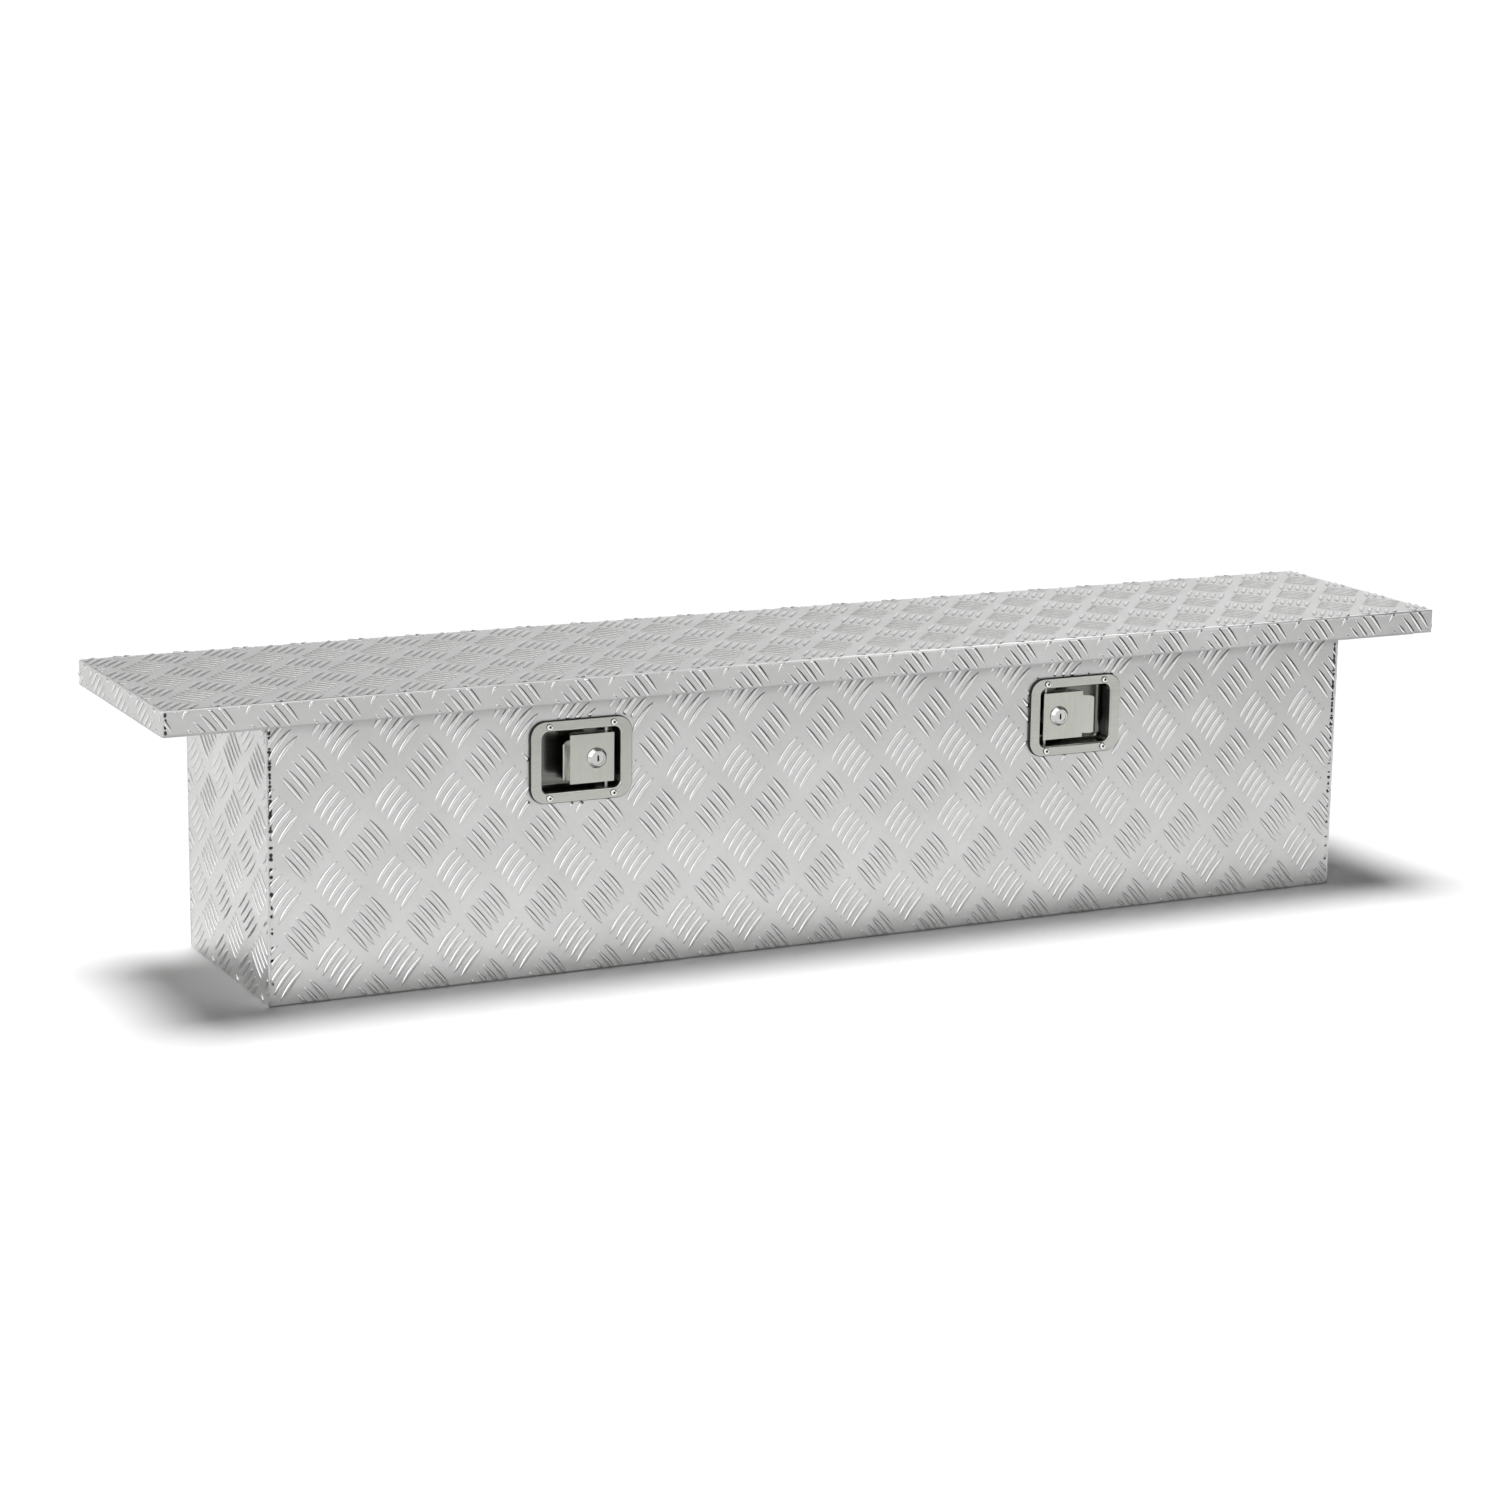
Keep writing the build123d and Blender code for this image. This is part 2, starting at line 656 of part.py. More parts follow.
with BuildPart() as lock_nut:
    with BuildSketch(latch_plane(paddle_back + lock_nut_thickness)):
        with Locations((lock_u, 0)):
            RegularPolygon(lock_nut_radius, 6, major_radius=False, rotation=30)
            Circle(barrel_radius, mode=Mode.SUBTRACT)
    extrude(amount=lock_nut_thickness)

plug_front = body_front - bezel_rise + plug_recess
plug_back = barrel_back + 2 * gap
with BuildPart() as lock_plug:
    rod_y(plug_radius, (plug_front, plug_back), lock_x, latch_height)
    slot_x = (lock_x - keyway[0] / 2, lock_x + keyway[0] / 2)
    slot_height = latch_z((-keyway[1] / 2, keyway[1] / 2))
    block(slot_x, (plug_front - 1, plug_front + keyway[2]), slot_height, Mode.SUBTRACT)

with BuildPart() as lock_cam:
    with BuildSketch(latch_plane(plug_back + cam_thickness)):
        with Locations((lock_u, cam_length / 2)):
            SlotCenterToCenter(cam_length - cam_half_width, 2 * cam_half_width, rotation=90)
    extrude(amount=cam_thickness)

with BuildPart() as bolt_carrier:
    block(latch_u(carrier_u), carrier_y, latch_z(carrier_z))
    ear_u = (carrier_u[0], carrier_u[0] + paddle_sheet)
    block(latch_u(ear_u), (carrier_y[0], bolt_y[1]), latch_z(bolt_z))
    window_u = (pivot_u - tail_window[0], pivot_u + tail_window[1])
    window_z = (tail_z[0] - tail_slot_margin, tail_z[1] + tail_slot_margin)
    cut_y = (carrier_y[0] - 1, carrier_y[1] + 1)
    block(latch_u(window_u), cut_y, latch_z(window_z), Mode.SUBTRACT)
    pin_room = drive_pin_radius + gap
    run_u = (drive_pin_u - pin_room, drive_pin_u + bolt_throw + pin_room)
    bolt_mid_z = sum(bolt_z) / 2
    run_z = (bolt_mid_z - pin_room, bolt_mid_z + pin_room)
    block(latch_u(run_u), cut_y, latch_z(run_z), Mode.SUBTRACT)

with BuildPart() as latch_bolt:
    block(latch_u(bolt_u), bolt_y, latch_z(bolt_z))
    nose_edge = edges().filter_by(Axis.Y).group_by(Axis.X)[-1].sort_by(Axis.Z)[0]
    chamfer(nose_edge, bolt_nose)
    bolt_mid_y = sum(bolt_y) / 2
    pin_y = (carrier_y[0] + gap, bolt_mid_y)
    rod_y(drive_pin_radius, pin_y, latch_x + drive_pin_u, latch_height + bolt_mid_z)

with BuildPart() as bolt_spring:
    coil_start = latch_x + ear_u[1] + spring_wire
    coil_run = latch_x + bolt_u[0] - spring_wire - coil_start
    coil_middle = (coil_start, bolt_mid_y, latch_height + bolt_mid_z)
    with Locations(Location(coil_middle, (0, 90, 0))):
        add(coil(bolt_spring_radius, bolt_spring_turns, coil_run))

# Saddle welded on the back of the dish, with an end plate that the bolt slides through.
with BuildPart() as bolt_guide:
    block(latch_u(guide_u), guide_y, latch_z(guide_z))
    inside_u = (guide_u[0] - 1, guide_u[1] - dish_sheet)
    inside_y = (guide_y[0] - 1, guide_y[1] - dish_sheet)
    inside_z = (guide_z[0] + dish_sheet, guide_z[1] - dish_sheet)
    block(latch_u(inside_u), inside_y, latch_z(inside_z), Mode.SUBTRACT)
    hole_z = (bolt_z[0] - gap, bolt_z[1] + gap)
    hole_y = (guide_y[0] - 1, bolt_y[1] + gap)
    end_u = (inside_u[1] - 1, guide_u[1] + 1)
    block(latch_u(end_u), hole_y, latch_z(hole_z), Mode.SUBTRACT)

# Striker: a tab that hangs from the lid, with a window for the bolt.
with BuildPart() as striker:
    margin_y, margin_z = striker_window_margin
    window_z = latch_z((bolt_z[0] - margin_z, bolt_z[1] + margin_z))
    window_y = (bolt_y[0] - margin_y, bolt_y[1] + margin_y)
    block(latch_u(striker_u), striker_y, (window_z[0] - striker_below_window, lid_underside))
    foot_u = (striker_u[0], striker_u[1] + striker_foot)
    foot_low = lid_underside - (striker_u[1] - striker_u[0])
    block(latch_u(foot_u), striker_y, (foot_low, lid_underside))
    past = (striker_u[0] - 1, striker_u[1] + 1)
    block(latch_u(past), window_y, window_z, Mode.SUBTRACT)

save_pair(
    {
        "latch_gasket": latch_gasket.part,
        "latch_dish": latch_dish.part,
        "latch_screws": latch_screws.part,
        "latch_nuts": latch_nuts.part,
        "latch_paddle": latch_paddle.part,
        "latch_pivot": latch_pivot.part,
        "latch_return_spring": latch_return_spring.part,
        "lock_barrel": lock_barrel.part,
        "lock_nut": lock_nut.part,
        "lock_plug": lock_plug.part,
        "lock_cam": lock_cam.part,
        "bolt_carrier": bolt_carrier.part,
        "latch_bolt": latch_bolt.part,
        "bolt_spring": bolt_spring.part,
        "bolt_guide": bolt_guide.part,
        "striker": striker.part,
    },
    latch_shift,
)
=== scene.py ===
"""Looks of the truck tool box: studio, camera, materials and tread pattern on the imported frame.

Metres, in the frame of the CAD model: +X along the box, front toward -Y, +Z up.
"""

import math
from random import Random

import bmesh
import bpy
from mathutils import Matrix, Vector


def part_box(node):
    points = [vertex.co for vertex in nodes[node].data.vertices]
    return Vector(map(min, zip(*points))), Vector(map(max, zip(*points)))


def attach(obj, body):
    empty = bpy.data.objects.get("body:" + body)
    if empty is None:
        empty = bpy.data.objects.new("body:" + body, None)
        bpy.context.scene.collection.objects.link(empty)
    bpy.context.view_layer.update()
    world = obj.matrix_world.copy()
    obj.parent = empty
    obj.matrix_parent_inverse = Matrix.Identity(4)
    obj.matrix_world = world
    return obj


MM = 0.001
SIDES = ("left", "right")
SHEET = 1.6 * MM
WING_UNDERSIDE = 338 * MM
CAMERA_ANGLES = (26.2075, 12.291, 0.761)  # yaw, pitch and roll in degrees
CAMERA_PLACE = (-2.0948, -4.14535, 1.23299)
CAMERA_LENS = 87.9
FLOOR_RADIUS = 3.4

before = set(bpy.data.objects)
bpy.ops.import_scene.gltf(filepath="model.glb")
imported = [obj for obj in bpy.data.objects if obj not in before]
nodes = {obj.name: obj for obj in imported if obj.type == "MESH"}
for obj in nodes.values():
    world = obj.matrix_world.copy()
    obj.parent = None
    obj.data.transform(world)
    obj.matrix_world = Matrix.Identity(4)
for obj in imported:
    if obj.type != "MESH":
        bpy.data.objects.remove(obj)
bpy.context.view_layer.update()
scene = bpy.context.scene
body_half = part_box("end_panel_right")[0].x + SHEET
front_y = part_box("latch_gasket_left")[1].y
back_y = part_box("body_wrap")[1].y
lid_low, lid_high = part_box("lid_skin")


def new_material(name):
    """A new node material, its node tree and its shader."""
    material = bpy.data.materials.new(name)
    material.use_nodes = True
    return material, material.node_tree, material.node_tree.nodes["Principled BSDF"]


def circle(radius, corners):
    """Points round a circle on the floor."""
    turns = [2 * math.pi * n / corners for n in range(corners)]
    return [(radius * math.cos(turn), radius * math.sin(turn), 0.0) for turn in turns]


# ---------------------------------------------------------------- camera and studio
def make_camera():
    """A long lens, low and to the left of the box's front."""
    yaw, pitch, roll = (math.radians(angle) for angle in CAMERA_ANGLES)
    flat = math.cos(pitch)
    forward = Vector((math.sin(yaw) * flat, math.cos(yaw) * flat, -math.sin(pitch)))
    level = Vector((math.cos(yaw), -math.sin(yaw), 0))
    rise = level.cross(forward)
    right = level * math.cos(roll) + rise * math.sin(roll)
    up = rise * math.cos(roll) - level * math.sin(roll)
    data = bpy.data.cameras.new("camera")
    data.lens = CAMERA_LENS
    data.sensor_width = 36
    data.clip_end = 200
    camera = bpy.data.objects.new("camera", data)
    scene.collection.objects.link(camera)
    turn = Matrix((right, up, -forward)).transposed().to_4x4()
    camera.matrix_world = Matrix.Translation(CAMERA_PLACE) @ turn
    scene.camera = camera


def make_world():
    """White below and along the horizon, fading to a dark ceiling."""
    world = bpy.data.worlds.new("studio")
    scene.world = world
    world.use_nodes = True
    tree = world.node_tree
    coordinates = tree.nodes.new("ShaderNodeTexCoord")
    split = tree.nodes.new("ShaderNodeSeparateXYZ")
    fade = tree.nodes.new("ShaderNodeMapRange")
    fade.interpolation_type = "SMOOTHSTEP"
    fade.inputs["From Min"].default_value = math.sin(math.radians(2))
    fade.inputs["From Max"].default_value = math.sin(math.radians(14))
    fade.inputs["To Min"].default_value = 1.05
    fade.inputs["To Max"].default_value = 0.07
    tree.links.new(coordinates.outputs["Generated"], split.inputs["Vector"])
    tree.links.new(split.outputs["Z"], fade.inputs["Value"])
    tree.links.new(fade.outputs["Result"], tree.nodes["Background"].inputs["Strength"])
    tree.nodes["Background"].inputs["Color"].default_value = (1.0, 1.0, 1.0, 1)


def stage_board(name, corners, faces, material):
    """A board beside the set that only mirror-like surfaces see."""
    mesh = bpy.data.meshes.new(name)
    mesh.from_pydata(corners, [], faces)
    mesh.materials.append(material)
    board = bpy.data.objects.new(name, mesh)
    board.visible_camera = False
    board.visible_shadow = False
    board.visible_diffuse = False
    scene.collection.objects.link(board)


def flat_board(name, corner, along, up, material):
    """A four-sided board from one corner and two edges."""
    corner, along, up = Vector(corner), Vector(along), Vector(up)
    corners = [corner, corner + along, corner + along + up, corner + up]
    stage_board(name, corners, [(0, 1, 2, 3)], material)


def glow(name, strength):
    """A material that only shines."""
    material, _, shader = new_material(name)
    shader.inputs["Base Color"].default_value = (0, 0, 0, 1)
    shader.inputs["Emission Color"].default_value = (1, 1, 1, 1)
    shader.inputs["Emission Strength"].default_value = strength
    return material


def glow_card(name, corner, along, up, strength):
    """A glowing white board."""
    flat_board(name, corner, along, up, glow(name, strength))


def flag(name, corner, along, up):
    """A black cloth."""
    cloth, _, shader = new_material(name)
    shader.inputs["Base Color"].default_value = (0.03, 0.03, 0.03, 1)
    shader.inputs["Roughness"].default_value = 1.0
    flat_board(name, corner, along, up, cloth)


def horizon_card():
    """A white wall round the set that the lid mirrors."""
    radius, height, corners = 8.0, 2.7, 64
    foot = circle(radius, corners)
    head = [(x, y, height) for x, y, _ in foot]
    sides = [(n, (n + 1) % corners, corners + (n + 1) % corners, corners + n)
             for n in range(corners)]
    stage_board("horizon_card", foot + head, sides, glow("horizon_card", 0.95))


def make_studio():
    """White floor under an overhead lamp, with cards and a flag that only the metal mirrors."""
    scene.view_settings.view_transform = "Standard"
    scene.view_settings.look = "None"
    make_world()

    mesh = bpy.data.meshes.new("floor")
    rim = circle(FLOOR_RADIUS, 96)
    mesh.from_pydata(rim, [], [range(len(rim))])
    floor = bpy.data.objects.new("floor", mesh)
    scene.collection.objects.link(floor)
    paper, _, shader = new_material("studio_floor")
    shader.inputs["Base Color"].default_value = (0.93, 0.93, 0.93, 1)
    shader.inputs["Roughness"].default_value = 0.9
    shader.inputs["Specular IOR Level"].default_value = 0.1
    mesh.materials.append(paper)

    overhead = bpy.data.lights.new("overhead", "SUN")
    overhead.energy = 3.25
    overhead.angle = math.radians(22)
    lamp = bpy.data.objects.new("overhead", overhead)
    lamp.visible_glossy = False
    scene.collection.objects.link(lamp)
    lamp.rotation_euler = (math.radians(-8), 0, 0)
    horizon_card()
    glow_card("back_card", (-7.0, 6.5, 2.7), (14.0, 0, 0), (0, -1.5, 4.0), 0.62)
    glow_card("front_card", (-4.5, -3.2, 2.2), (6.6, 0, 0), (0, 1.6, 2.4), 1.8)
    glow_card("left_card", (-5.0, -4.5, 0.9), (0, 6.0, 0), (3.4, 0, 4.4), 2.2)
    glow_card("top_card", (1.7, -3.0, 4.2), (3.2, 0, 0), (0, 8.0, 0), 1.8)
    glow_card("low_card", (-3.0, -4.2, 0.004), (3.9, 0, 0), (0, 2.7, 0), 0.62)
    flag("flag_right", (2.4, -3.6, 0.002), (0.6, 5.0, 0), (0, 0, 4.5))


# ---------------------------------------------------------------- materials
def noise(tree, scale, stretch=(1, 1, 1), detail=4.0, roughness=0.55):
    """Noise in object space; stretch squeezes it along each axis."""
    coordinates = tree.nodes.new("ShaderNodeTexCoord")
    mapping = tree.nodes.new("ShaderNodeMapping")
    mapping.inputs["Scale"].default_value = stretch
    texture = tree.nodes.new("ShaderNodeTexNoise")
    texture.inputs["Scale"].default_value = scale
    texture.inputs["Detail"].default_value = detail
    texture.inputs["Roughness"].default_value = roughness
    tree.links.new(coordinates.outputs["Object"], mapping.inputs["Vector"])
    tree.links.new(mapping.outputs["Vector"], texture.inputs["Vector"])
    return texture.outputs["Fac"]


def remap(tree, value, low, high, start=0.3, end=0.7):
    """Value stretched from start..end to low..high."""
    node = tree.nodes.new("ShaderNodeMapRange")
    node.inputs["From Min"].default_value = start
    node.inputs["From Max"].default_value = end
    node.inputs["To Min"].default_value = low
    node.inputs["To Max"].default_value = high
    tree.links.new(value, node.inputs["Value"])
    return node.outputs["Result"]


def colour_mix(tree, factor, first, second):
    """A colour between first and second."""
    node = tree.nodes.new("ShaderNodeMix")
    node.data_type = "RGBA"
    node.inputs["A"].default_value = (*first, 1)
    node.inputs["B"].default_value = (*second, 1)
    tree.links.new(factor, node.inputs["Factor"])
    return node.outputs["Result"]


def add_bump(tree, height, strength, distance, under=None):
    """A bump node, on top of another one where under is its output."""
    node = tree.nodes.new("ShaderNodeBump")
    node.inputs["Strength"].default_value = strength
    node.inputs["Distance"].default_value = distance
    tree.links.new(height, node.inputs["Height"])
    if under is not None:
        tree.links.new(under, node.inputs["Normal"])
    return node.outputs["Normal"]


def metal(name, dark, light, rough, grain, grain_scale=60.0, grain_bump=0.12, wave=0.0):
    """Metal with blotchy colour, uneven roughness and a grain that grain stretches."""
    material, tree, shader = new_material(name)
    blotches = noise(tree, 9.0, detail=6.0)
    fine = noise(tree, grain_scale, grain, detail=3.0, roughness=0.7)
    shader.inputs["Metallic"].default_value = 1.0
    colour = colour_mix(tree, remap(tree, blotches, 0.0, 1.0), dark, light)
    tree.links.new(colour, shader.inputs["Base Color"])
    tree.links.new(remap(tree, fine, *rough), shader.inputs["Roughness"])
    normal = add_bump(tree, fine, grain_bump, 0.0002)
    if wave:
        slow = noise(tree, 5.0, detail=1.0)
        normal = add_bump(tree, slow, wave, 0.01, normal)
    tree.links.new(normal, shader.inputs["Normal"])
    return material


def bar_metal(name, shoulder_tone, foot_tone):
    """The sheet's metal with painted light on the bars: shoulders painted toward shoulder_tone, a
    painted highlight where it is lighter than the sheet and painted shade where darker, and feet
    painted dark as painted shade.
    """
    material, tree, shader = new_material(name)
    shoulder = tree.nodes.new("ShaderNodeAttribute")
    shoulder.attribute_name = "shoulder"
    foot = tree.nodes.new("ShaderNodeAttribute")
    foot.attribute_name = "foot"
    scuff = noise(tree, 300.0, detail=3.0, roughness=0.7)
    blend = remap(tree, shoulder.outputs["Fac"], 0.0, 1.0, 0.1, 0.9)
    # Shoulders: painted highlight where shoulder_tone is lighter than the sheet, painted shade
    # where darker.
    colour = colour_mix(tree, blend, (0.60, 0.60, 0.595), shoulder_tone)
    # Feet: painted shade.
    outlined = colour_mix(tree, foot.outputs["Fac"], (0, 0, 0), foot_tone)
    tree.links.new(colour, outlined.node.inputs["A"])
    tree.links.new(outlined, shader.inputs["Base Color"])
    shader.inputs["Metallic"].default_value = 1.0
    tree.links.new(remap(tree, scuff, 0.12, 0.20), shader.inputs["Roughness"])
    tree.links.new(add_bump(tree, scuff, 0.05, 0.0002), shader.inputs["Normal"])
    return material


def rubber(name, tone):
    """Matt black rubber with a fine pebbled skin."""
    material, tree, shader = new_material(name)
    pebbles = noise(tree, 900.0, detail=2.0)
    dust = noise(tree, 30.0, detail=5.0)
    lighter = tuple(channel * 2.2 for channel in tone)
    colour = colour_mix(tree, remap(tree, dust, 0.0, 1.0), tone, lighter)
    tree.links.new(colour, shader.inputs["Base Color"])
    tree.links.new(remap(tree, dust, 0.5, 0.75), shader.inputs["Roughness"])
    tree.links.new(add_bump(tree, pebbles, 0.25, 0.0003), shader.inputs["Normal"])
    return material


def lacquer(name, tone):
    """Satin black paint with faint orange peel."""
    material, tree, shader = new_material(name)
    peel = noise(tree, 350.0, detail=1.0)
    scuff = noise(tree, 40.0, (1, 1, 4), detail=6.0)
    lighter = tuple(channel * 1.8 for channel in tone)
    colour = colour_mix(tree, remap(tree, scuff, 0.0, 1.0), tone, lighter)
    tree.links.new(colour, shader.inputs["Base Color"])
    tree.links.new(remap(tree, scuff, 0.25, 0.45), shader.inputs["Roughness"])
    tree.links.new(add_bump(tree, peel, 0.1, 0.0003), shader.inputs["Normal"])
    return material


def ramp(tree, axis, start, end):
    """A mask from 0 at start to 1 at end along an axis of the frame."""
    coordinates = tree.nodes.new("ShaderNodeTexCoord")
    split = tree.nodes.new("ShaderNodeSeparateXYZ")
    tree.links.new(coordinates.outputs["Object"], split.inputs["Vector"])
    return remap(tree, split.outputs[axis], 0.0, 1.0, start, end)


def product(tree, first, second):
    """Two masks multiplied."""
    node = tree.nodes.new("ShaderNodeMath")
    node.operation = "MULTIPLY"
    tree.links.new(first, node.inputs[0])
    tree.links.new(second, node.inputs[1])
    return node.outputs["Value"]


def paint_light(material, mask, tone):
    """Multiply the material's colour by tone where the mask is 1: painted shade below 1, painted
    highlight above 1.
    """
    tree = material.node_tree
    base = tree.nodes["Principled BSDF"].inputs["Base Color"]
    shade = colour_mix(tree, mask, (1, 1, 1), (tone, tone, tone))
    blend = tree.nodes.new("ShaderNodeMix")
    blend.data_type = "RGBA"
    blend.blend_type = "MULTIPLY"
    blend.inputs["Factor"].default_value = 1.0
    tree.links.new(base.links[0].from_socket, blend.inputs["A"])
    tree.links.new(shade, blend.inputs["B"])
    tree.links.new(blend.outputs["Result"], base)


def sheet_metal(name):
    """Bright rolled aluminium sheet."""
    return metal(name, (0.59, 0.59, 0.585), (0.66, 0.66, 0.655),
                 (0.30, 0.42), (0.05, 1, 1), 260.0, 0.10, 0.10)


def body_sheet():
    """The body's sheet, with painted shade growing toward the top and a band of deeper painted
    shade under the lid.
    """
    material = sheet_metal("body_sheet")
    tree = material.node_tree
    # Painted shade, growing from 40 mm up to the lid.
    paint_light(material, ramp(tree, "Z", 40 * MM, lid_low.z), 0.90)
    # Painted shade in a band just under the lid.
    paint_light(material, ramp(tree, "Z", lid_low.z - 16 * MM, lid_low.z - 1 * MM), 0.66)
    return material


def lid_sheet():
    """The lid's sheet, with painted shade on its skirts, deeper toward the left and along their
    lower edge, and a painted highlight along the front top edge toward the right.
    """
    material = sheet_metal("lid_sheet")
    tree = material.node_tree
    # Painted shade on the skirts, deeper toward the left.
    skirt = ramp(tree, "Z", lid_high.z - 1.5 * MM, lid_high.z - 3 * MM)
    paint_light(material, skirt, 0.97)
    paint_light(material, product(tree, skirt, ramp(tree, "X", 0.45, -0.35)), 0.90)
    # Painted shade along the skirts' lower edge.
    paint_light(material, ramp(tree, "Z", lid_low.z + 3 * MM, lid_low.z), 0.7)
    # Painted highlight along the front top edge, toward the right.
    bend = product(tree, ramp(tree, "Y", lid_low.y + 4 * MM, lid_low.y + 2 * MM),
                   ramp(tree, "Z", lid_high.z - 4 * MM, lid_high.z - 2 * MM))
    paint_light(material, product(tree, bend, ramp(tree, "X", -0.2, 0.3)), 1.55)
    return material


def dish_steel():
    """The latch dish's steel, with painted shade down inside it."""
    material = metal("dish_stainless", (0.43, 0.435, 0.40), (0.49, 0.495, 0.46),
                     (0.16, 0.26), (0.03, 1, 1), 420.0, 0.06)
    tree = material.node_tree
    # Painted shade down inside the dish.
    paint_light(material, ramp(tree, "Y", front_y + 1 * MM, front_y + 6 * MM), 0.35)
    return material


def screw_zinc():
    """Bright screws, with painted shade in their sockets and round their heads' feet."""
    material = metal("bright_zinc", (0.82, 0.82, 0.82), (0.92, 0.92, 0.91),
                     (0.15, 0.28), (1, 1, 1), 160.0, 0.05)
    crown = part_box("latch_screws_left")[0].y
    tree = material.node_tree
    # Painted shade in the sockets and round the heads' feet.
    paint_light(material, ramp(tree, "Y", crown + 0.7 * MM, crown + 1.4 * MM), 0.10)
    return material


def make_materials():
    """Every material, by its own name."""
    return {
        "sheet": sheet_metal("tread_sheet"),
        "body_sheet": body_sheet(),
        "lid_sheet": lid_sheet(),
        "dish": dish_steel(),
        # Lit and shaded copies of the bars' metal, one for each set of faces: painted highlight
        # on the shoulders of the front, back, ends and skirts, painted shade on the lid's
        # shoulders, and painted shade at every foot.
        "bars": bar_metal("tread_bars", (0.97, 0.97, 0.965), (0.32, 0.32, 0.315)),
        "end_bars": bar_metal("end_tread_bars", (0.78, 0.78, 0.775), (0.56, 0.56, 0.555)),
        "lid_bars": bar_metal("lid_tread_bars", (0.55, 0.55, 0.545), (0.29, 0.29, 0.285)),
        "skirt_bars": bar_metal("skirt_tread_bars", (0.84, 0.84, 0.835), (0.50, 0.50, 0.495)),
        "screw": screw_zinc(),
        "brushed": metal("brushed_stainless", (0.43, 0.435, 0.40), (0.49, 0.495, 0.46),
                         (0.20, 0.30), (0.03, 1, 1), 420.0, 0.06),
        "pressed": metal("pressed_stainless", (0.45, 0.455, 0.415), (0.51, 0.515, 0.475),
                         (0.18, 0.28), (1, 1, 0.05), 420.0, 0.04),
        "zinc": metal("zinc_plate", (0.55, 0.56, 0.57), (0.70, 0.70, 0.68),
                      (0.28, 0.45), (1, 1, 1), 120.0, 0.10),
        "chrome": metal("chrome_plate", (0.52, 0.52, 0.51), (0.60, 0.60, 0.59),
                        (0.08, 0.16), (1, 1, 1), 200.0, 0.02),
        "seal": rubber("black_rubber", (0.012, 0.012, 0.012)),
        "tube": lacquer("black_paint", (0.012, 0.012, 0.013)),
    }


FINISH = {
    "body_wrap": "body_sheet",
    "end_panel": "sheet",
    "lid_skin": "lid_sheet",
    "lid_stiffener": "sheet",
    "hinge_body_leaf": "brushed",
    "hinge_lid_leaf": "brushed",
    "hinge_pin": "brushed",
    "hinge_rivets_body": "zinc",
    "hinge_rivets_lid": "zinc",
    "latch_dish": "dish",
    "latch_paddle": "pressed",
    "latch_pivot": "zinc",
    "latch_return_spring": "zinc",
    "latch_screws": "screw",
    "latch_nuts": "zinc",
    "latch_gasket": "seal",
    "rim_seal": "seal",
    "lock_barrel": "chrome",
    "lock_plug": "chrome",
    "lock_nut": "zinc",
    "lock_cam": "zinc",
    "strut_tube": "tube",
    "strut_rod": "chrome",
}


def plain_name(node):
    """The node's name without its side."""
    for side in SIDES:
        if node.endswith("_" + side):
            return node[: -len(side) - 1]
    return node


def dress_cad(materials):
    """Give every CAD node its material."""
    for name, thing in nodes.items():
        finish = FINISH.get(plain_name(name), "zinc")
        thing.data.materials.clear()
        thing.data.materials.append(materials[finish])


def soften_edges(name, width, segments):
    """Round off a CAD node's sharp edges with a small bevel."""
    bevel = nodes[name].modifiers.new("soft_edges", "BEVEL")
    bevel.width = width
    bevel.segments = segments
    bevel.limit_method = "ANGLE"
    bevel.angle_limit = math.radians(35)
    bevel.harden_normals = False


# ---------------------------------------------------------------- new pieces
def finish_piece(bm, name, body, material):
    """Turn a bmesh into a smooth object that rides on a body."""
    bmesh.ops.recalc_face_normals(bm, faces=bm.faces)
    mesh = bpy.data.meshes.new(name)
    bm.to_mesh(mesh)
    bm.free()
    mesh.shade_smooth()
    mesh.materials.append(material)
    piece = bpy.data.objects.new(name, mesh)
    scene.collection.objects.link(piece)
    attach(piece, body)


# ---------------------------------------------------------------- tread pattern
# Five slightly bowed bars make a group. Groups of the two hands alternate, half a cell apart.
CELL = (76.5 * MM, 95.0 * MM)
TALL_CELL = (CELL[1], CELL[0])
BARS_IN_GROUP = 5
BAR_LENGTH = 47.0 * MM
BAR_HALF_WIDTH = 3.0 * MM
BAR_HEIGHT = 1.5 * MM
RISING_BOW = 2.0 * MM
FALLING_BOW = 0.7 * MM
BAR_STEPS = 10
BAR_LEAN = math.radians(51.5)
STACK_PITCH = 11.3 * MM
STACK_LEAN = math.radians(47.9)
HALF_SECTION = ((-1.0, 0.0), (-0.74, 0.68), (-0.42, 0.96))
SECTION = (*HALF_SECTION, (0.0, 1.0), *((-x, h) for x, h in reversed(HALF_SECTION)))
TAPER = (2.4, 0.8)  # powers that shape how a bar narrows from its middle to its tips
TIP = 0.02  # a bar's tip keeps this share of its width
RISE_POWER = 0.7
SHOULDER_START = 0.3  # where the shoulder's tone begins, as a share of the half width
SHOULDER_SPAN = 0.35
# The middle of one falling group on each face, and the slight turn of the front's pattern.
FRONT_START = (-554 * MM, 186 * MM)
FRONT_SKEW = math.radians(0.54)
BACK_START = (-520 * MM, 175 * MM)
END_START = (31 * MM, 172 * MM)
LID_START = (-829 * MM, -5 * MM)
EDGE = 3.0 * MM
LID_EDGE = 2.2 * MM
GASKET_LAP = 2 * MM


